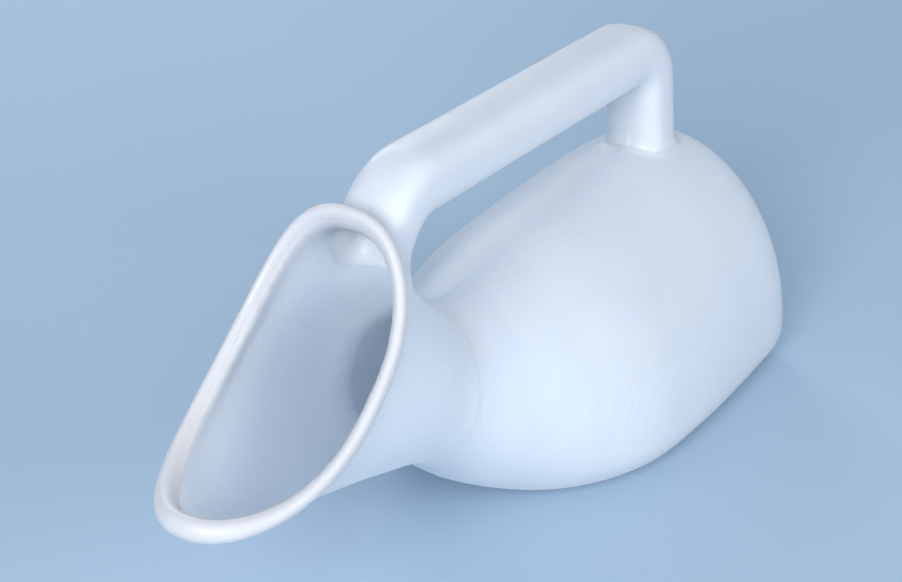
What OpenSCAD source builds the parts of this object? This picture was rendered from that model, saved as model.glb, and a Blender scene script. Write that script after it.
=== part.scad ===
// Scoop-mouthed bedside bottle with a closed body, blow-moulded from milky plastic.
//
// The vessel is one smooth skin drawn through a row of sections. The body, the mouth
// funnel, the rolled rim and the hollow handle are cut from that skin so that they
// meet face to face. X runs from the mouth (negative) to the rear wall (positive),
// Z is up, and the origin is in the middle of the box that holds the bottle, on the
// surface that it stands on. The bottle is symmetric about the plane Y = 0.

/* [Overall] */
// Length that the bottle is laid out in; its rounded rear wall stops 0.5 short of it
overall_len = 280; // [262:2:298]
// Thickness of the moulded wall
wall = 2.2; // [1.8:0.1:2.4]

/* [Body] */
// Greatest width of the body
body_w = 98; // [90:1:104]
// Height of the body's crown
body_h = 80; // [76:1:84]

/* [Neck] */
// Width of the neck at its waist
neck_w = 46; // [42:1:50]
// Height of the neck's crown
neck_top = 77; // [74:1:78]
// Height of the neck's underside
neck_bottom = 31; // [27:1:35]

/* [Mouth] */
// Width of the mouth, between the outer sides of its wall
mouth_w = 48; // [46:1:54]
// Height of the wall's outer edge at the top of the mouth
mouth_top = 120; // [116:1:122]
// Height of the wall's outer edge at the lip
lip_h = 61; // [57:0.5:65]
// Distance the rim's sides dip back towards the body
rim_dip = 15; // [12:0.5:19]
// Length of the rim along the wall
rim_len = 5.6; // [5:0.2:6.4]
// Thickness of the rim at the sides of the mouth
rim_side_t = 3.2; // [2.6:0.1:4]
// Thickness of the rim at the top of the mouth
rim_top_t = 4; // [3:0.1:6]
// Thickness of the rim at the lip
rim_lip_t = 6.6; // [4:0.1:7]

/* [Handle] */
// Width of the grip
grip_w = 20.4; // [18:0.2:22]
// Depth of the grip, from its top to its underside
grip_t = 18.6; // [17:0.2:20]
// Height of the grip's middle line at its front bend
grip_front_h = 119.5; // [117:0.5:121]
// Height of the grip's middle line at its rear bend
grip_rear_h = 114.2; // [112:0.2:117]
// Distance from the rear wall to the post's middle line
post_inset = 29; // [26:1:34]

/* [Hidden] */

// Colours: milky plastic, with the thick rim a little more opaque
body_colour = [0.82, 0.87, 0.93];
funnel_colour = [0.84, 0.88, 0.93];
rim_colour = [0.93, 0.93, 0.96];
handle_colour = [0.88, 0.90, 0.95];

// Along X: just behind the rear wall, just in front of the lip, and the edge of the
// lip's wall, in the middle of its rim
rear = overall_len / 2;
front = -overall_len / 2;
lip = front + rim_len / 2;
half_w = body_w / 2;
half_neck = neck_w / 2;
half_mouth = mouth_w / 2;

// Sections of the outer skin, from the middle of the rear wall to the mouth. Each is
// [x of its top, z of its top, x of its bottom, z of its bottom, half width,
//  height share of the widest place, roundness above, roundness below, side dip].
// A roundness of 2 is an ellipse, and more is squarer. What lies under z = 0 is cut
// off by the flat base.
SECTIONS = [
    [rear - 3, body_h * 0.5, rear - 1.5, 20, 8, 0.35, 2, 2.4, 0],
    [rear - 3.5, body_h - 22, rear - 0.5, 9, half_w - 21, 0.30, 2, 2.6, 0],
    [rear - 5.5, body_h - 9, rear - 1.5, 1, half_w - 9, 0.22, 2, 3, 0],
    [rear - 13, body_h - 2.5, rear - 7, -2, half_w - 3, 0.20, 2, 3.2, 0],
    [rear - 35, body_h, rear - 31, -3, half_w - 1, 0.20, 2, 3.2, 0],
    [rear - 70, body_h - 0.5, rear - 70, -3, half_w, 0.21, 2, 3.2, 0],
    [rear - 104, body_h - 1.5, rear - 102, -3, half_w - 1.5, 0.25, 2, 3, 0],
    [rear - 130, body_h - 3.5, rear - 128, 0, half_w - 9, 0.32, 2, 2.6, 0],
    [rear - 150, neck_top - 2, rear - 153, 12, half_neck + 7, 0.40, 2, 2.3, 0],
    [rear - 164, neck_top, lip + 100, neck_bottom, half_neck, 0.46, 2, 2.1, 0],
    [lip + 99, mouth_top - 31, lip + 68, neck_bottom + 11, half_neck, 0.50, 2, 2, rim_dip * 0.25],
    [lip + 86, mouth_top - 16, lip + 34, lip_h - 10, half_mouth - 0.5, 0.51, 2.1, 1.9, rim_dip * 0.6],
    [lip + 75.5, mouth_top, lip, lip_h, half_mouth, 0.51, 2.6, 2.2, rim_dip]
];
REAR_ROW = 0;
NECK_ROW = 9;
MOUTH_ROW = len(SECTIONS) - 1;

// Points round a section (a multiple of 4) and rings from one section to the next
RING = 40;
STEPS = 3;

// Handle: the corners of its middle line in the X-Z plane, whose first and last lie
// inside the skin. The foot slopes down from the grip to the funnel, and the post
// leans forward a little from the body to the grip.
front_x = front + 100;
foot_run = 17;
foot_drop = 20.5;
post_x = rear - post_inset;
post_lean = 5;
post_sink = 10;
HANDLE_CORNERS = [
    [front_x - foot_run, mouth_top - foot_drop],
    [front_x, grip_front_h],
    [post_x - post_lean, grip_rear_h],
    [post_x, body_h - post_sink]
];
front_bend_r = 20;
rear_bend_r = 15;
BEND_STEPS = 8;
// Stretches of the skin, as places along SECTIONS, that the handle's ends stand on,
// and how often each is halved to find where a line of the tube meets it
FRONT_STRETCH = [NECK_ROW, MOUTH_ROW];
REAR_STRETCH = [2, 6];
HALVINGS = 24;
// The tube's section: points round it, and its roundness as for the sections above
TUBE_RING = 24;
tube_roundness = 2.6;

// Points round the rim's section: the first SHARED lie where the funnel's wall meets
// it, from the wall's outer side to its inner side
SHARED = 3;
RIM_SIDES = 12;

// Power that keeps the sign of v
function spow(v, p) = sign(v) * pow(abs(v), p);

// Section at t, on a smooth curve through the sections
function section_at(t) =
    let (
        i = min(floor(t), MOUTH_ROW - 1),
        u = t - i,
        a = SECTIONS[i],
        b = SECTIONS[i + 1],
        slope_a = i > 0 ? (b - SECTIONS[i - 1]) / 2 : b - a,
        slope_b = i + 2 <= MOUTH_ROW ? (SECTIONS[i + 2] - a) / 2 : b - a,
        u2 = u * u,
        u3 = u2 * u
    )
    (2 * u3 - 3 * u2 + 1) * a + (u3 - 2 * u2 + u) * slope_a
        + (3 * u2 - 2 * u3) * b + (u3 - u2) * slope_b;

// Point of a section at an angle that is 90 at its top, before the base is cut flat
function uncut_point(section, angle) =
    let (
        above = sin(angle) >= 0,
        power = 2 / (above ? section[6] : section[7]),
        y = section[4] * spow(cos(angle), power),
        rise = spow(sin(angle), power),
        share = section[5] + rise * (above ? 1 - section[5] : section[5]),
        dx = section[0] - section[2],
        dz = section[1] - section[3],
        dip = section[8] * pow(cos(angle), 2) / norm([dx, dz])
    )
    [section[2] + dx * share + dip * dz, y, section[3] + dz * share - dip * dx];

// Point of the outer skin, with the base cut flat
function skin_point(section, angle) =
    let (p = uncut_point(section, angle))
    [p[0], p[1], max(0, p[2])];

// Unit vectors at a point of the skin: along it towards the mouth, and out of it
function skin_frame(t, angle) =
    let (
        dt = 0.04, // a small step along the sections
        da = 1.5, // a small turn, in degrees
        here = section_at(t),
        along = uncut_point(section_at(min(t + dt, MOUTH_ROW)), angle)
            - uncut_point(section_at(max(t - dt, REAR_ROW)), angle),
        around = uncut_point(here, angle + da) - uncut_point(here, angle - da),
        outward = cross(along, around)
    )
    [cross(around, outward) / norm(cross(around, outward)), outward / norm(outward)];

// Point of the inner skin: one wall in from the outer skin, square to it
function inner_point(t, angle) =
    let (p = uncut_point(section_at(t), angle) - wall * skin_frame(t, angle)[1])
    [p[0], p[1], max(wall, p[2])];

function outer_ring(t) = [for (k = [0:RING - 1]) skin_point(section_at(t), 360 * k / RING)];
function inner_ring(t) = [for (k = [0:RING - 1]) inner_point(t, 360 * k / RING)];

// Two triangles for each side between one ring of points and the next
function band(ring_a, ring_b, n) = [
    for (k = [0:n - 1])
        let (j = (k + 1) % n)
        each [
            [ring_a * n + k, ring_b * n + j, ring_b * n + k],
            [ring_a * n + k, ring_a * n + j, ring_b * n + j]
        ]
];

// A lid across one ring: strips that run straight across from side to side
function lid(first, n, flip) = [
    for (k = [0:n / 2 - 1])
        let (
            left = first + (n / 4 + k) % n,
            left_next = first + (n / 4 + k + 1) % n,
            right = first + (n / 4 - k + n) % n,
            right_next = first + (n / 4 - k - 1 + n) % n,
            strip = concat(
                left == right ? [] : [[left, left_next, right]],
                left_next == right_next ? [] : [[right, left_next, right_next]]
            )
        )
        each flip ? [for (f = strip) [f[2], f[1], f[0]]] : strip
];

// Solid through a row of rings, closed by lids
module capped(rings) {
    n = len(rings[0]);
    last = len(rings) - 1;
    polyhedron(
        points = [for (ring = rings) each ring],
        faces = concat(
            [for (i = [0:last - 1]) each band(i, i + 1, n)],
            lid(0, n, true),
            lid(last * n, n, false)
        )
    );
}

// Solid through a row of rings, whose last ring joins the first
module looped(rings) {
    n = len(rings[0]);
    count = len(rings);
    polyhedron(
        points = [for (ring = rings) each ring],
        faces = [for (i = [0:count - 1]) each band(i, (i + 1) % count, n)]
    );
}

// The places of the rings from one section to another
function stops(from, to) = [for (k = [0:(to - from) * STEPS]) from + k / STEPS];
function reversed(list) = [for (k = [len(list) - 1:-1:0]) list[k]];

// Arc of the middle line round corner b, between the straights from a and to c
function bend(a, b, c, r) =
    let (
        to_a = (a - b) / norm(a - b),
        to_c = (c - b) / norm(c - b),
        half = acos(to_a * to_c) / 2,
        middle = (to_a + to_c) / norm(to_a + to_c),
        centre = b + middle * r / sin(half),
        start = b + to_a * r / tan(half) - centre,
        end = b + to_c * r / tan(half) - centre,
        turn = 180 - 2 * half
    )
    [
        for (u = [0:1 / BEND_STEPS:1])
            let (p = start * sin((1 - u) * turn) + end * sin(u * turn))
            centre + p / norm(p) * r
    ];

HANDLE_LINE = concat(
    [HANDLE_CORNERS[0]],
    bend(HANDLE_CORNERS[0], HANDLE_CORNERS[1], HANDLE_CORNERS[2], front_bend_r),
    bend(HANDLE_CORNERS[1], HANDLE_CORNERS[2], HANDLE_CORNERS[3], rear_bend_r),
    [HANDLE_CORNERS[3]]
);

// Point of the skin's upper side on section t, at the distance y from the middle plane
function skin_above(t, y) =
    let (
        section = section_at(t),
        power = section[6],
        narrow = pow(min(1, abs(y) / section[4]), power),
        share = section[5] + (1 - section[5]) * pow(1 - narrow, 1 / power),
        dx = section[0] - section[2],
        dz = section[1] - section[3],
        dip = section[8] * narrow / norm([dx, dz])
    )
    [section[2] + dx * share + dip * dz, section[3] + dz * share - dip * dx];

// Where the straight through p along way, at the distance y from the middle plane,
// meets the skin between the sections t_low and t_high, by halving that stretch
function on_skin(p, way, y, t_low, t_high, halvings) =
    let (
        middle = (t_low + t_high) / 2,
        side_low = skin_above(t_low, y) - p,
        side = skin_above(middle, y) - p,
        same = (way[0] * side_low[1] - way[1] * side_low[0])
            * (way[0] * side[1] - way[1] * side[0]) > 0
    )
    halvings == 0 ? skin_above(middle, y)
        : on_skin(p, way, y, same ? middle : t_low, same ? t_high : middle, halvings - 1);

// Ring of the handle's tube at point i of its middle line, smaller by inset all round.
// Its corners are turned by a share of one side. The first and last rings lie on the
// skin where to_skin is true.
function tube_ring(i, inset, to_skin, turn) =
    let (
        last = len(HANDLE_LINE) - 1,
        p = HANDLE_LINE[i],
        way = HANDLE_LINE[min(i + 1, last)] - HANDLE_LINE[max(i - 1, 0)],
        up = [-way[1], way[0]] / norm(way),
        half_y = grip_w / 2 - inset,
        half_t = grip_t / 2 - inset,
        stretch = i == 0 ? FRONT_STRETCH : REAR_STRETCH
    )
    [
        for (k = [0:TUBE_RING - 1])
            let (
                angle = 360 * (k + turn) / TUBE_RING,
                y = half_y * spow(cos(angle), 2 / tube_roundness),
                q = p + up * half_t * spow(sin(angle), 2 / tube_roundness),
                end = to_skin && (i == 0 || i == last)
                    ? on_skin(q, way, y, stretch[0], stretch[1], HALVINGS) : q
            )
            [end[0], -y, end[1]]
    ];
function tube_rings(inset, to_skin = true, turn = 0.5) =
    [for (i = [0:len(HANDLE_LINE) - 1]) tube_ring(i, inset, to_skin, turn)];

// The hollow inside the handle, which runs on through the walls at both its ends. The
// turn and the ease keep its corners off the edges of the skin that it cuts.
module handle_bore(turn, ease) {
    capped(tube_rings(wall + ease, false, turn));
}

// Thickness of the rim at a place of the mouth's edge
function rim_thickness(angle) =
    rim_side_t + ((sin(angle) > 0 ? rim_top_t : rim_lip_t) - rim_side_t) * pow(sin(angle), 2);

// Line i of the rim, all the way round the mouth. The rim's section is an ellipse about
// the wall's edge, flush with the wall's inner side and proud of its outer side.
function rim_line(i) = [
    for (k = [0:RING - 1])
        let (
            angle = 360 * k / RING,
            frame = skin_frame(MOUTH_ROW, angle),
            half_t = rim_thickness(angle) / 2,
            start = asin(1 - wall / half_t),
            turn = i < SHARED
                ? start + i * (90 - start) / (SHARED - 1)
                : 90 + (i - SHARED + 1) * (270 + start) / (RIM_SIDES - SHARED + 1),
            away = rim_len / 2 * cos(turn) * frame[0] + half_t * sin(turn) * frame[1]
        )
        skin_point(section_at(MOUTH_ROW), angle) + (half_t - wall) * frame[1] - away
];

// Closed loaf-shaped body, from the rear wall to the neck, on its flat base. The
// handle's hollow opens into it. Here and in the funnel, resize([0, 0, 0]) changes no
// size: it keeps the skin and the hole cut in it as one mesh.
module body_shell() {
    color(body_colour)
        resize([0, 0, 0])
            difference() {
                capped(concat(
                    [for (t = stops(REAR_ROW, NECK_ROW)) outer_ring(t)],
                    [for (t = reversed(stops(REAR_ROW, NECK_ROW))) inner_ring(t)]
                ));
                handle_bore(turn = 0.25, ease = 0);
            }
}

// Scoop that widens from the neck to the rim, which its wall meets face to face
module mouth_funnel() {
    shared = [for (i = [0:SHARED - 1]) rim_line(i)];
    inner_stops = reversed(stops(NECK_ROW, MOUTH_ROW - 1 / STEPS));
    color(funnel_colour)
        resize([0, 0, 0])
            difference() {
                looped(concat(
                    [for (t = stops(NECK_ROW, MOUTH_ROW - 1 / STEPS)) outer_ring(t)],
                    shared,
                    [for (t = inner_stops) inner_ring(t)]
                ));
                handle_bore(turn = 0.5, ease = 0.4);
            }
}

// Rolled rim along the edge of the mouth, thickest at the lip
module mouth_rim() {
    color(rim_colour)
        looped([for (i = [RIM_SIDES - 1:-1:0]) rim_line(i)]);
}

// Hollow grip and post, which end on the skins of the funnel and the body
module handle() {
    color(handle_colour)
        looped(concat(tube_rings(0), reversed(tube_rings(wall))));
}

body_shell();
mouth_funnel();
mouth_rim();
handle();
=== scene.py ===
"""Milky plastic bedside bottle with a scoop mouth, a rolled rim and a hollow handle.

The bottle is one blow moulding. Its vessel, handle and rim are built as closed skins
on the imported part's own sizes, joined as distance fields so that they run into each
other with moulded fillets and one wall thickness, and meshed once. The mesh is then
parted into one closed piece for each CAD node.
"""

import math

import bmesh
import bpy
import numpy as np
import openvdb
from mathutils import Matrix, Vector


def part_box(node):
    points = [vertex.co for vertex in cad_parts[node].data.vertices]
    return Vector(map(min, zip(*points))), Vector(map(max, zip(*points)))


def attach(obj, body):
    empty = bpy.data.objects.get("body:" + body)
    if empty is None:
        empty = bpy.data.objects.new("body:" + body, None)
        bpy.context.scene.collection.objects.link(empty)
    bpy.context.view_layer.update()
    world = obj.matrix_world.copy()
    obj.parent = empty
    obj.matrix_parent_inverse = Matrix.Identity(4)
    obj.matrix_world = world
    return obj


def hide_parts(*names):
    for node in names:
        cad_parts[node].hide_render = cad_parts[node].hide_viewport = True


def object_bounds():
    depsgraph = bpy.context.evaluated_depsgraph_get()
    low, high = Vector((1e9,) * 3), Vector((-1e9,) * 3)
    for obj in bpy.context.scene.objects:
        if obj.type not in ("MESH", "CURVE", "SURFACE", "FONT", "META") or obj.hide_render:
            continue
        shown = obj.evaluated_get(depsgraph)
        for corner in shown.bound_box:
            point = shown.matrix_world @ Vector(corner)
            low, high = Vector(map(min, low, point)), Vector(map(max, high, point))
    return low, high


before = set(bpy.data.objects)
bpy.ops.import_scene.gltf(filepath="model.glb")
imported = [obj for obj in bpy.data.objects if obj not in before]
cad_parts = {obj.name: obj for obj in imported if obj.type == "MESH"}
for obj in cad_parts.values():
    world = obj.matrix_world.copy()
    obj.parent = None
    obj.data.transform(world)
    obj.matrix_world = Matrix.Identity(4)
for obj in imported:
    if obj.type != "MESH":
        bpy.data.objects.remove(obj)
CAD_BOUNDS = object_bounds()

MM = 0.001
WALL = 2.2
LAID_OUT_LEN = 280

# ---------------------------------------------------------------- driving sizes, in mm


def box_mm(node):
    """Lowest and highest corner of a CAD node, in millimetres."""
    low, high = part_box(node)
    return np.array(low) / MM, np.array(high) / MM


body_high = box_mm("body_shell")[1]

# The sections are laid out in a length of 280, which ends 0.5 behind the rear wall
REAR = body_high[0] + 0.5
FRONT = REAR - LAID_OUT_LEN
BODY_H = 80.0
HALF_W = body_high[1]
RIM_LEN = 5.6
RIM_SIDE_T = 3.2
RIM_TOP_T = 4.0
RIM_LIP_T = 6.6
LIP = FRONT + RIM_LEN / 2
LIP_H = 61.0
MOUTH_TOP = 120.0
HALF_MOUTH = 24.0
HALF_NECK = 23.0
NECK_TOP = 77.0
NECK_BOTTOM = 31.0
RIM_DIP = 15.0

# Sections of the outer skin, from the middle of the rear wall to the mouth:
# x and z of the top, x and z of the bottom, half width, height share of the widest
# place, roundness above and below (2 is an ellipse), and how far the sides dip.
SECTIONS = np.array([
    [REAR - 3, BODY_H * 0.5, REAR - 1.5, 20, 8, 0.35, 2, 2.4, 0],
    [REAR - 3.5, BODY_H - 22, REAR - 0.5, 9, HALF_W - 21, 0.30, 2, 2.6, 0],
    [REAR - 5.5, BODY_H - 9, REAR - 1.5, 1, HALF_W - 9, 0.22, 2, 3, 0],
    [REAR - 13, BODY_H - 2.5, REAR - 7, -2, HALF_W - 3, 0.20, 2, 3.2, 0],
    [REAR - 35, BODY_H, REAR - 31, -3, HALF_W - 1, 0.20, 2, 3.2, 0],
    [REAR - 70, BODY_H - 0.5, REAR - 70, -3, HALF_W, 0.21, 2, 3.2, 0],
    [REAR - 104, BODY_H - 1.5, REAR - 102, -3, HALF_W - 1.5, 0.25, 2, 3, 0],
    [REAR - 130, BODY_H - 3.5, REAR - 128, 0, HALF_W - 9, 0.32, 2, 2.6, 0],
    [REAR - 150, NECK_TOP - 2, REAR - 153, 12, HALF_NECK + 7, 0.40, 2, 2.3, 0],
    [REAR - 164, NECK_TOP, LIP + 100, NECK_BOTTOM, HALF_NECK, 0.46, 2, 2.1, 0],
    [LIP + 99, MOUTH_TOP - 31, LIP + 68, NECK_BOTTOM + 11,
     HALF_NECK, 0.50, 2, 2, RIM_DIP * 0.25],
    [LIP + 86, MOUTH_TOP - 16, LIP + 34, LIP_H - 10,
     HALF_MOUTH - 0.5, 0.51, 2.1, 1.9, RIM_DIP * 0.6],
    [LIP + 75.5, MOUTH_TOP, LIP, LIP_H, HALF_MOUTH, 0.51, 2.6, 2.2, RIM_DIP],
], float)
NECK_ROW = 9
MOUTH_ROW = len(SECTIONS) - 1

# Handle: corners of its middle line in the X-Z plane, and the radii of its two bends
POST_X = REAR - 29
FRONT_X = FRONT + 100
HANDLE_CORNERS = [
    (FRONT_X - 17, MOUTH_TOP - 20.5),
    (FRONT_X, 119.5),
    (POST_X - 5, 114.2),
    (POST_X, BODY_H - 10),
]
HANDLE_BENDS = (20.0, 15.0)
BEND_POINTS = 25
GRIP_W = 20.4
GRIP_T = 18.6
GRIP_ROUNDNESS = 3.3

# Points round the skins of the vessel, the handle and the rim, rings from one section
# of the vessel to the next, and sides of the rim's section
VESSEL_POINTS = 288
HANDLE_POINTS = 96
RIM_POINTS = 320
VESSEL_STEPS = 32
RIM_SIDES = 32
# Small step back along the sections, to find the skin's direction at the mouth
ALONG_STEP = 0.02

# Distance fields: spacing of the grid, and how many of its steps the skins' distances
# are known for. A spacing of 1.3 breaks the rim's seams, so look at the rim after a
# change.
STEP = 1.15
BAND = 12
# How far the hollow runs on past the last section, so that it opens the mouth
PAST_MOUTH = 0.5
# Rounds and strength of the pull that lays the meshed points on the skin
PULLS = 3
PULL = 0.9
# Fillets where the handle's two ends and the rim meet the vessel. The handle's front
# fillet is used in front of FILLET_SPLIT_X, and its rear one behind.
FRONT_FILLET = 9.0
POST_FILLET = 4.0
FILLET_SPLIT_X = 30
RIM_FILLET = 1.6
# How far outside the rim's bead its piece reaches along the wall
RIM_SEAM = 0.9
# The mould's parting line: half its width, how far it stands out, the share of that
# which is left on the handle, and the distance over which it weakens towards that
RIDGE_HALF_W = 0.6
RIDGE_H = 0.16
RIDGE_ON_HANDLE = 0.25
RIDGE_FADE = 8.0


# ---------------------------------------------------------------- skins


def section_at(t):
    """Section at t on a smooth curve through the sections, straight on past the last."""
    i = int(min(max(math.floor(t), 0), MOUTH_ROW - 1))
    u = t - i
    a, b = SECTIONS[i], SECTIONS[i + 1]
    slope_a = (b - SECTIONS[i - 1]) / 2 if i > 0 else b - a
    slope_b = (SECTIONS[i + 2] - a) / 2 if i + 2 <= MOUTH_ROW else b - a
    if u > 1:
        return b + slope_b * (u - 1)
    u2, u3 = u * u, u ** 3
    return ((2 * u3 - 3 * u2 + 1) * a + (u3 - 2 * u2 + u) * slope_a
            + (3 * u2 - 2 * u3) * b + (u3 - u2) * slope_b)


def signed_power(v, p):
    return np.sign(v) * np.abs(v) ** p


def skin_ring(t, count):
    """Ring of points of the outer skin; a quarter of the way round is its top."""
    x_top, z_top, x_low, z_low, half, widest, above, below, dip = section_at(t)
    angle = np.linspace(0, 2 * np.pi, count, endpoint=False)
    up = np.sin(angle) >= 0
    power = 2 / np.where(up, above, below)
    share = widest + signed_power(np.sin(angle), power) * np.where(up, 1 - widest, widest)
    dx, dz = x_top - x_low, z_top - z_low
    dip = dip * np.cos(angle) ** 2 / math.hypot(dx, dz)
    return np.stack([
        x_low + dx * share + dip * dz,
        half * signed_power(np.cos(angle), power),
        np.maximum(0, z_low + dz * share - dip * dx),
    ], axis=1)


def tube_faces(rings, count):
    """Quads between each ring of points and the next."""
    k = np.arange(count)
    j = (k + 1) % count
    return np.concatenate([
        np.stack([r * count + k, r * count + j, (r + 1) * count + j, (r + 1) * count + k], 1)
        for r in range(rings - 1)
    ])


def lid_faces(first, count):
    """Strips straight across a ring from side to side, as quads (two at the ends shrink)."""
    k = np.arange(count // 2)
    quarter = count // 4
    left = first + (quarter + k) % count
    left_next = first + (quarter + k + 1) % count
    right = first + (quarter - k) % count
    right_next = first + (quarter - k - 1) % count
    return np.stack([left, left_next, right_next, right], 1)


def vessel_mesh(last_t):
    """The closed outer skin from the rear wall to last_t."""
    count = VESSEL_POINTS
    stops = np.linspace(0, last_t, int(last_t * VESSEL_STEPS) + 1)
    points = np.concatenate([skin_ring(t, count) for t in stops])
    quads = np.concatenate([
        tube_faces(len(stops), count),
        lid_faces(0, count),
        lid_faces((len(stops) - 1) * count, count)[:, ::-1],
    ])
    return points, quads


def handle_line():
    """Points of the handle's middle line, in the X-Z plane, close together."""
    corners = [np.array(c, float) for c in HANDLE_CORNERS]
    line = [corners[0]]
    for a, b, c, r in zip(corners, corners[1:], corners[2:], HANDLE_BENDS):
        to_a, to_c = (a - b) / np.linalg.norm(a - b), (c - b) / np.linalg.norm(c - b)
        half = math.acos(to_a @ to_c) / 2
        middle = (to_a + to_c) / np.linalg.norm(to_a + to_c)
        centre = b + middle * r / math.sin(half)
        start, end = (b + way * r / math.tan(half) - centre for way in (to_a, to_c))
        turn = math.pi - 2 * half
        for u in np.linspace(0, 1, BEND_POINTS):
            p = start * math.sin((1 - u) * turn) + end * math.sin(u * turn)
            line.append(centre + p / np.linalg.norm(p) * r)
    line.append(corners[-1])
    return np.array(line)


def handle_mesh():
    """The closed outer skin of the handle, whose ends reach into the vessel."""
    count = HANDLE_POINTS
    line = handle_line()
    way = np.gradient(line, axis=0)
    way /= np.linalg.norm(way, axis=1)[:, None]
    up = np.stack([-way[:, 1], way[:, 0]], 1)
    angle = np.linspace(0, 2 * np.pi, count, endpoint=False)
    y = GRIP_W / 2 * signed_power(np.cos(angle), 2 / GRIP_ROUNDNESS)
    t = GRIP_T / 2 * signed_power(np.sin(angle), 2 / GRIP_ROUNDNESS)
    points = np.stack([
        line[:, :1] + up[:, :1] * t,
        np.broadcast_to(-y, (len(line), count)),
        line[:, 1:] + up[:, 1:] * t,
    ], axis=2).reshape(-1, 3)
    quads = np.concatenate([
        tube_faces(len(line), count),
        lid_faces(0, count),
        lid_faces((len(line) - 1) * count, count)[:, ::-1],
    ])
    return points, quads


def rim_mesh():
    """The rim along the edge of the mouth: an ellipse, flush with the wall's inner side."""
    count, sides = RIM_POINTS, RIM_SIDES
    edge = skin_ring(MOUTH_ROW, count)
    along = edge - skin_ring(MOUTH_ROW - ALONG_STEP, count)
    way = np.roll(edge, -1, axis=0) - np.roll(edge, 1, axis=0)
    way /= np.linalg.norm(way, axis=1)[:, None]
    along -= way * np.sum(along * way, axis=1)[:, None]
    along /= np.linalg.norm(along, axis=1)[:, None]
    outward = np.cross(way, along)
    rise = np.sin(np.linspace(0, 2 * np.pi, count, endpoint=False))
    end_t = np.where(rise > 0, RIM_TOP_T, RIM_LIP_T)
    half_t = ((RIM_SIDE_T + (end_t - RIM_SIDE_T) * rise ** 2) / 2)[:, None]
    middle = edge + (half_t - WALL) * outward
    turn = np.linspace(0, 2 * np.pi, sides, endpoint=False)[None, :, None]
    points = (middle[:, None]
              + RIM_LEN / 2 * np.cos(turn) * along[:, None]
              + half_t[:, None] * np.sin(turn) * outward[:, None]).reshape(-1, 3)
    quads = tube_faces(count, sides)
    k = np.arange(sides)
    last = (count - 1) * sides
    join = np.stack([last + k, last + (k + 1) % sides, (k + 1) % sides, k], 1)
    return points, np.concatenate([quads, join])


# ---------------------------------------------------------------- distance fields

GRID_LOW = np.floor(np.array(CAD_BOUNDS[0]) / MM / STEP).astype(int) - BAND
GRID_HIGH = np.ceil(np.array(CAD_BOUNDS[1]) / MM / STEP).astype(int) + BAND
GRID_SHAPE = tuple(int(n) for n in GRID_HIGH - GRID_LOW + 1)
GRID_START = tuple(int(n) for n in GRID_LOW)


def field(mesh):
    """Distance to a closed skin at each point of the grid, negative inside."""
    points, quads = mesh
    grid = openvdb.FloatGrid.createLevelSetFromPolygons(
        points.astype(np.float32),
        quads=quads.astype(np.uint32),
        transform=openvdb.createLinearTransform(voxelSize=STEP),
        halfWidth=float(BAND),
    )
    values = np.empty(GRID_SHAPE, np.float32)
    grid.copyToArray(values, ijk=GRID_START)
    return values


def smoothed(values):
    """The field without the faint facets of the skin it was measured from."""
    for axis in range(3):
        values = (np.roll(values, 1, axis) + 2 * values + np.roll(values, -1, axis)) / 4
    return values


def blended(a, b, k):
    """Union of two fields, with a fillet of about k where they meet."""
    mix = np.maximum(k - np.abs(a - b), 0) / k
    return np.minimum(a, b) - mix * mix * k / 4


def sample(values, points):
    """The field at any points, in millimetres, from the eight grid points round each."""
    at = points / STEP - GRID_LOW
    at = np.clip(at, 0, np.array(GRID_SHAPE) - 1.001)
    i = at.astype(int)
    f = at - i
    total = np.zeros(len(points))
    for corner in np.ndindex(2, 2, 2):
        weight = np.prod(np.where(corner, f, 1 - f), axis=1)
        total += weight * values[i[:, 0] + corner[0], i[:, 1] + corner[1], i[:, 2] + corner[2]]
    return total


def normals_at(values, points):
    """Unit directions in which the field grows fastest."""
    steps = np.eye(3) * STEP
    grow = np.stack([sample(values, points + s) - sample(values, points - s) for s in steps], 1)
    return grow / np.linalg.norm(grow, axis=1)[:, None]


def moulded_bottle():
    """Mesh of the whole moulding, with the fields that say where to part it."""
    vessel = smoothed(field(vessel_mesh(MOUTH_ROW)))
    open_vessel = smoothed(field(vessel_mesh(MOUTH_ROW + PAST_MOUTH)))
    grip = field(handle_mesh())
    bead = field(rim_mesh())
    x = (np.arange(GRID_SHAPE[0]) + GRID_LOW[0]) * STEP
    fillet = np.where(x < FILLET_SPLIT_X, FRONT_FILLET, POST_FILLET)
    fillet = fillet.astype(np.float32)[:, None, None]
    outer = blended(vessel, grip, fillet)
    hollow = blended(open_vessel, grip, fillet) + WALL
    solid = blended(np.maximum(outer, -hollow), bead, RIM_FILLET)
    grid = openvdb.FloatGrid()
    grid.transform = openvdb.createLinearTransform(voxelSize=STEP)
    grid.background = float(BAND)
    grid.copyFromArray(solid, ijk=GRID_START)
    points, triangles, quads = grid.convertToPolygons()
    points = points.astype(float)
    for _ in range(PULLS):
        points -= PULL * sample(solid, points)[:, None] * normals_at(solid, points)
    x_top, z_top, x_low, z_low = section_at(NECK_ROW)[:4]
    chord = np.array([x_top - x_low, 0, z_top - z_low]) / math.hypot(x_top - x_low, z_top - z_low)
    towards_mouth = np.array([-chord[2], 0, chord[0]])
    return {
        "quads": quads.astype(int),
        "triangles": triangles.astype(int).reshape(-1, 3),
        "points": points,
        "normals": normals_at(solid, points),
        "handle": sample(vessel, points) - sample(grip, points),
        "rim": RIM_SEAM - sample(bead, points),
        "funnel": (points - [x_low, 0, z_low]) @ towards_mouth,
        "outer": sample(outer, points),
    }


# ---------------------------------------------------------------- parting the mesh

FACES = ("quads", "triangles", "seam")


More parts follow.
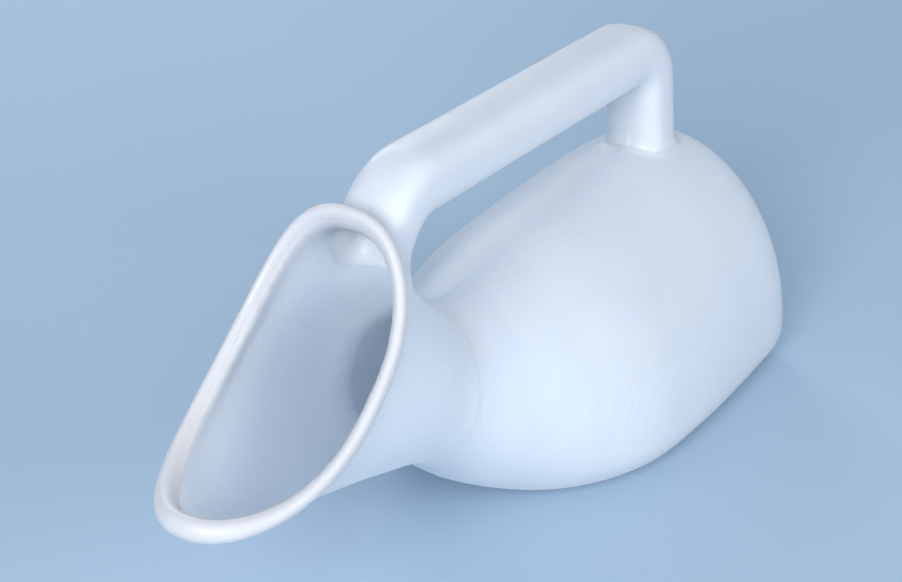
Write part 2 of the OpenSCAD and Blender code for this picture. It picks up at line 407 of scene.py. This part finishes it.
def scored(mesh, side):
    """The mesh with an edge along every place where `side`, a number for each point, is 0.

    Also tells which quads and which triangles are on the positive side.
    """
    side = np.where(np.abs(side) < 1e-4, 1e-4, side)
    above = side > 0
    quads, triangles = mesh["quads"], mesh["triangles"]
    in_quad = above[quads].sum(1)
    whole = (in_quad == 0) | (in_quad == 4)
    crossed = quads[~whole]
    triangles = np.concatenate([triangles, crossed[:, [0, 1, 2]], crossed[:, [0, 2, 3]]])
    in_triangle = above[triangles].sum(1)
    uncut = (in_triangle == 0) | (in_triangle == 3)
    cut = triangles[~uncut]
    lone_above = in_triangle[~uncut] == 1
    lone = np.argmax(above[cut] == lone_above[:, None], axis=1)
    rows = np.arange(len(cut))
    a, b, c = (cut[rows, (lone + k) % 3] for k in range(3))
    pairs = np.sort(np.concatenate([np.stack([a, b], 1), np.stack([a, c], 1)]), axis=1)
    edges, where = np.unique(pairs, axis=0, return_inverse=True)
    p, q = len(side) + where.reshape(2, -1)
    share = side[edges[:, 0]] / (side[edges[:, 0]] - side[edges[:, 1]])
    result = {
        "quads": np.concatenate([quads[whole], np.stack([p, b, c, q], 1)]),
        "triangles": np.concatenate([triangles[uncut], np.stack([a, p, q], 1)]),
        "seam": np.stack([p, q], 1),
    }
    for key in mesh.keys() - set(FACES):
        values = mesh[key]
        weight = share[:, None] if values.ndim > 1 else share
        between = values[edges[:, 0]] * (1 - weight) + values[edges[:, 1]] * weight
        result[key] = np.concatenate([values, between])
    quads_above = np.concatenate([in_quad[whole] == 4, ~lone_above])
    triangles_above = np.concatenate([in_triangle[uncut] == 3, lone_above])
    return result, quads_above, triangles_above


def halves(mesh, name):
    """The mesh's part where its field `name` is above 0, and the rest.

    Each half keeps the edges of every cut on it as its "seam".
    """
    earlier = mesh["seam"]
    mesh, quads_above, triangles_above = scored(mesh, mesh[name])
    mesh["seam"] = np.concatenate([mesh["seam"], earlier])
    parts = []
    for wanted in (True, False):
        part = {
            "quads": mesh["quads"][quads_above == wanted],
            "triangles": mesh["triangles"][triangles_above == wanted],
            "seam": mesh["seam"],
        }
        used = np.unique(np.concatenate([part["quads"].ravel(), part["triangles"].ravel()]))
        renumber = np.full(len(mesh["points"]), -1)
        renumber[used] = np.arange(len(used))
        for key in FACES:
            part[key] = renumber[part[key]]
        part["seam"] = part["seam"][(part["seam"] >= 0).all(axis=1)]
        part.update({key: mesh[key][used] for key in mesh.keys() - set(FACES)})
        parts.append(part)
    return parts


def with_parting_line(mesh):
    """Raises the mould's fine parting line, along the middle plane of the outer skin."""
    for share in (-1, -0.5, 0, 0.5, 1):
        mesh, _, _ = scored(mesh, mesh["points"][:, 1] - share * RIDGE_HALF_W)
    mesh["seam"] = np.empty((0, 2), int)
    points, normals = mesh["points"], mesh["normals"]
    y = np.clip(points[:, 1] / RIDGE_HALF_W, -1, 1)
    on_skin = np.clip(1 - np.abs(mesh["outer"]) / WALL * 2, 0, 1)
    above_base = np.clip(points[:, 2] - 1, 0, 1)
    across = np.clip(1 - np.abs(normals[:, 1]) * 3, 0, 1)
    off_handle = np.clip(1 - mesh["handle"] / RIDGE_FADE, 0, 1)
    strength = RIDGE_ON_HANDLE + (1 - RIDGE_ON_HANDLE) * off_handle
    height = RIDGE_H * on_skin * above_base * across * strength
    slope = height * np.pi / (2 * RIDGE_HALF_W) * np.sin(np.pi * y)
    mesh["points"] = points + normals * (height * np.cos(np.pi * y / 2) ** 2)[:, None]
    tilted = normals + slope[:, None] * [0, 1, 0]
    mesh["normals"] = tilted / np.linalg.norm(tilted, axis=1)[:, None]
    return mesh


def seam_rings(part):
    """The seam's closed rings of points."""
    near = {}
    for i, j in part["seam"]:
        near.setdefault(int(i), []).append(int(j))
        near.setdefault(int(j), []).append(int(i))
    rings, seen = [], set()
    for start in near:
        if start in seen:
            continue
        ring, at, before = [], start, None
        while at not in seen:
            seen.add(at)
            ring.append(at)
            onward = [n for n in near[at] if n != before]
            before, at = at, onward[0]
        rings.append(ring)
    return rings


def built(name, part):
    """A closed Blender mesh object from one part, its seams capped across the wall."""
    mesh = bpy.data.meshes.new(name)
    faces = part["quads"].tolist() + part["triangles"].tolist()
    mesh.from_pydata((part["points"] * MM).tolist(), [], faces)
    skin_faces = len(faces)
    bm = bmesh.new()
    bm.from_mesh(mesh)
    bm.verts.ensure_lookup_table()
    rings = seam_rings(part)
    middles = [part["points"][ring].mean(0) for ring in rings]
    while rings:
        ring, middle = rings.pop(), middles.pop()
        mate = min(range(len(rings)), key=lambda i: np.linalg.norm(middles[i] - middle))
        both = [ring, rings.pop(mate)]
        middles.pop(mate)
        edges = [
            bm.edges.get((bm.verts[r[i - 1]], bm.verts[r[i]])) for r in both for i in range(len(r))
        ]
        bmesh.ops.bridge_loops(bm, edges=edges)
    bmesh.ops.triangulate(bm, faces=list(bm.faces)[skin_faces:])
    bmesh.ops.recalc_face_normals(bm, faces=bm.faces)
    bm.to_mesh(mesh)
    bm.free()
    mesh.update()
    mesh.shade_smooth()
    loop_points = np.empty(len(mesh.loops), int)
    mesh.loops.foreach_get("vertex_index", loop_points)
    normals = part["normals"][loop_points].copy()
    sizes = np.empty(len(mesh.polygons), int)
    mesh.polygons.foreach_get("loop_total", sizes)
    normals[sizes[:skin_faces].sum():] = 0
    mesh.normals_split_custom_set(normals)
    inner = mesh.attributes.new("inner_skin", "FLOAT", "POINT")
    inner.data.foreach_set("value", np.clip(-part["outer"] / WALL, 0, 1).astype(np.float32))
    obj = bpy.data.objects.new(name, mesh)
    bpy.context.collection.objects.link(obj)
    return obj


bottle = with_parting_line(moulded_bottle())
handle_part, vessel_part = halves(bottle, "handle")
rim_part, vessel_part = halves(vessel_part, "rim")
funnel_part, body_part = halves(vessel_part, "funnel")
PIECES = {
    "body_shell": ("milky_body", built("body_skin", body_part)),
    "mouth_funnel": ("milky_funnel", built("funnel_skin", funnel_part)),
    "mouth_rim": ("milky_rim", built("rim_skin", rim_part)),
    "handle": ("milky_handle", built("handle_skin", handle_part)),
}
for node, (slot_name, piece) in PIECES.items():
    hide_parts(node)
    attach(piece, "root")


# ---------------------------------------------------------------- materials


def new_material(name):
    material = bpy.data.materials.new(name)
    material.use_nodes = True
    nodes = material.node_tree.nodes
    nodes.clear()
    output = nodes.new("ShaderNodeOutputMaterial")
    shader = nodes.new("ShaderNodeBsdfPrincipled")
    material.node_tree.links.new(shader.outputs["BSDF"], output.inputs["Surface"])
    return material, shader


def noise(material, scale, detail=2.0, roughness=0.5):
    """Noise through the object, at `scale` features a metre."""
    tree = material.node_tree
    place = tree.nodes.new("ShaderNodeTexCoord")
    node = tree.nodes.new("ShaderNodeTexNoise")
    node.inputs["Scale"].default_value = scale
    node.inputs["Detail"].default_value = detail
    node.inputs["Roughness"].default_value = roughness
    tree.links.new(place.outputs["Object"], node.inputs["Vector"])
    return node.outputs["Fac"]


def mapped(material, value, low, high, value_low=0.3, value_high=0.7):
    """A value, such as a noise, spread from low to high."""
    tree = material.node_tree
    node = tree.nodes.new("ShaderNodeMapRange")
    node.inputs["From Min"].default_value = value_low
    node.inputs["From Max"].default_value = value_high
    node.inputs["To Min"].default_value = low
    node.inputs["To Max"].default_value = high
    tree.links.new(value, node.inputs["Value"])
    return node.outputs["Result"]


def mixed(material, value, dark, light):
    tree = material.node_tree
    ramp = tree.nodes.new("ShaderNodeValToRGB")
    ramp.color_ramp.elements[0].position = 0.32
    ramp.color_ramp.elements[0].color = (*dark, 1)
    ramp.color_ramp.elements[1].position = 0.68
    ramp.color_ramp.elements[1].color = (*light, 1)
    tree.links.new(value, ramp.inputs["Fac"])
    return ramp.outputs["Color"]


def bumped(material, shader, layers):
    """Bump from several noises: (height field, depth in metres), coarse ones first."""
    tree = material.node_tree
    normal = None
    for height, depth in layers:
        bump = tree.nodes.new("ShaderNodeBump")
        bump.inputs["Distance"].default_value = depth
        tree.links.new(height, bump.inputs["Height"])
        if normal is not None:
            tree.links.new(normal, bump.inputs["Normal"])
        normal = bump.outputs["Normal"]
    tree.links.new(normal, shader.inputs["Normal"])


def milky_plastic(name, dark, light, roughness, outside, inside):
    """Blow-moulded milky plastic: satin skin, a faint orange peel, light passing through.

    outside and inside are the shares of the light that shows from behind each skin. The
    inner skin is painted paler: painted light, for the light that bounces about inside.
    """
    material, shader = new_material(name)
    tree = material.node_tree
    skin = tree.nodes.new("ShaderNodeAttribute")
    skin.attribute_name = "inner_skin"
    pale = tree.nodes.new("ShaderNodeMix")
    pale.data_type = "RGBA"
    outer_colour, inner_painted_light_colour = (s for s in pale.inputs if s.type == "RGBA")
    tree.links.new(mixed(material, noise(material, 22, 3, 0.55), dark, light), outer_colour)
    # Painted light: the inner skin's colour is paler, standing in for light that bounces about
    # inside.
    inner_painted_light_colour.default_value = (0.95, 0.965, 0.98, 1)
    tree.links.new(mapped(material, skin.outputs["Fac"], 0, 0.8, 0, 1), pale.inputs[0])
    cloud_and_painted_inner_light = next(s for s in pale.outputs if s.type == "RGBA")
    tree.links.new(cloud_and_painted_inner_light, shader.inputs["Base Color"])
    peel = noise(material, 420, 3, 0.6)
    tree.links.new(mapped(material, peel, roughness - 0.05, roughness + 0.06),
                   shader.inputs["Roughness"])
    shader.inputs["IOR"].default_value = 1.5
    shader.inputs["Subsurface Weight"].default_value = 0.4
    shader.inputs["Subsurface Radius"].default_value = (1.0, 1.05, 1.15)
    shader.inputs["Subsurface Scale"].default_value = 0.0012
    shader.inputs["Sheen Weight"].default_value = 0.25
    shader.inputs["Sheen Roughness"].default_value = 0.4
    waves = noise(material, 55, 1, 0.4)
    grain = noise(material, 2600, 2, 0.5)
    bumped(material, shader, [(waves, 0.00035), (peel, 0.00004), (grain, 0.000012)])
    behind = tree.nodes.new("ShaderNodeBsdfTranslucent")
    tree.links.new(cloud_and_painted_inner_light, behind.inputs["Color"])
    mix = tree.nodes.new("ShaderNodeMixShader")
    share = mapped(material, skin.outputs["Fac"], outside, inside, 0, 1)
    tree.links.new(share, mix.inputs["Fac"])
    tree.links.new(shader.outputs["BSDF"], mix.inputs[1])
    tree.links.new(behind.outputs["BSDF"], mix.inputs[2])
    tree.links.new(mix.outputs["Shader"], tree.nodes["Material Output"].inputs["Surface"])
    return material


LOOKS = {
    "milky_body": milky_plastic(
        "milky_body", (0.81, 0.855, 0.91), (0.86, 0.895, 0.94), 0.40, outside=0.25, inside=0.75),
    "milky_funnel": milky_plastic(
        "milky_funnel", (0.81, 0.855, 0.91), (0.86, 0.895, 0.94), 0.40, outside=0.25, inside=0.75),
    "milky_rim": milky_plastic(
        "milky_rim", (0.66, 0.65, 0.665), (0.70, 0.685, 0.70), 0.38, outside=0.05, inside=0.05),
    "milky_handle": milky_plastic(
        "milky_handle", (0.78, 0.81, 0.85), (0.83, 0.85, 0.885), 0.36, outside=0.15, inside=0.5),
}
for slot_name, piece in PIECES.values():
    piece.data.materials.append(LOOKS[slot_name])


# ---------------------------------------------------------------- scene


def floor():
    mesh = bpy.data.meshes.new("floor")
    half = 4.0
    mesh.from_pydata([(-half, -half, 0), (half, -half, 0), (half, half, 0), (-half, half, 0)],
                     [], [(0, 1, 2, 3)])
    obj = bpy.data.objects.new("floor", mesh)
    bpy.context.collection.objects.link(obj)
    material, shader = new_material("pale_floor")
    tree = material.node_tree
    tree.links.new(mixed(material, noise(material, 3), (0.40, 0.53, 0.66), (0.43, 0.56, 0.69)),
                   shader.inputs["Base Color"])
    shader.inputs["Roughness"].default_value = 0.7
    mesh.materials.append(material)


def aimed(obj, place, target):
    obj.location = place
    obj.rotation_euler = (Vector(target) - Vector(place)).to_track_quat("-Z", "Y").to_euler()


def soft_light(name, place, size, power, colour):
    light = bpy.data.lights.new(name, "AREA")
    light.shape = "DISK"
    light.size = size
    light.energy = power
    light.color = colour
    obj = bpy.data.objects.new(name, light)
    bpy.context.collection.objects.link(obj)
    aimed(obj, place, (0, 0, 0.05))


def studio():
    world = bpy.data.worlds.new("studio")
    world.use_nodes = True
    background = world.node_tree.nodes["Background"]
    background.inputs["Color"].default_value = (0.70, 0.83, 1.0, 1)
    background.inputs["Strength"].default_value = 0.52
    scene = bpy.context.scene
    scene.world = world
    scene.view_settings.view_transform = "Standard"
    soft_light("key", (-0.10, -1.15, 0.48), 0.7, 5.4, (1.0, 0.985, 0.96))
    soft_light("front", (-1.15, -0.30, 0.60), 0.6, 12.8, (0.96, 0.98, 1.0))
    soft_light("back", (0.8, 0.9, 0.55), 0.7, 4.0, (0.92, 0.96, 1.0))


def camera():
    """Seen from in front of the mouth, to its right, and from above."""
    heading, tilt = math.radians(31.9), math.radians(27.0)
    data = bpy.data.cameras.new("camera")
    data.sensor_width = 36
    data.lens = 91.2
    data.clip_start = 0.01
    obj = bpy.data.objects.new("camera", data)
    bpy.context.collection.objects.link(obj)
    ahead = Vector((math.cos(tilt) * math.cos(heading), math.cos(tilt) * math.sin(heading),
                    -math.sin(tilt)))
    obj.location = (-0.5181, -0.3166, 0.3798)
    obj.rotation_euler = ahead.to_track_quat("-Z", "Y").to_euler()
    bpy.context.scene.camera = obj


camera()
floor()
studio()
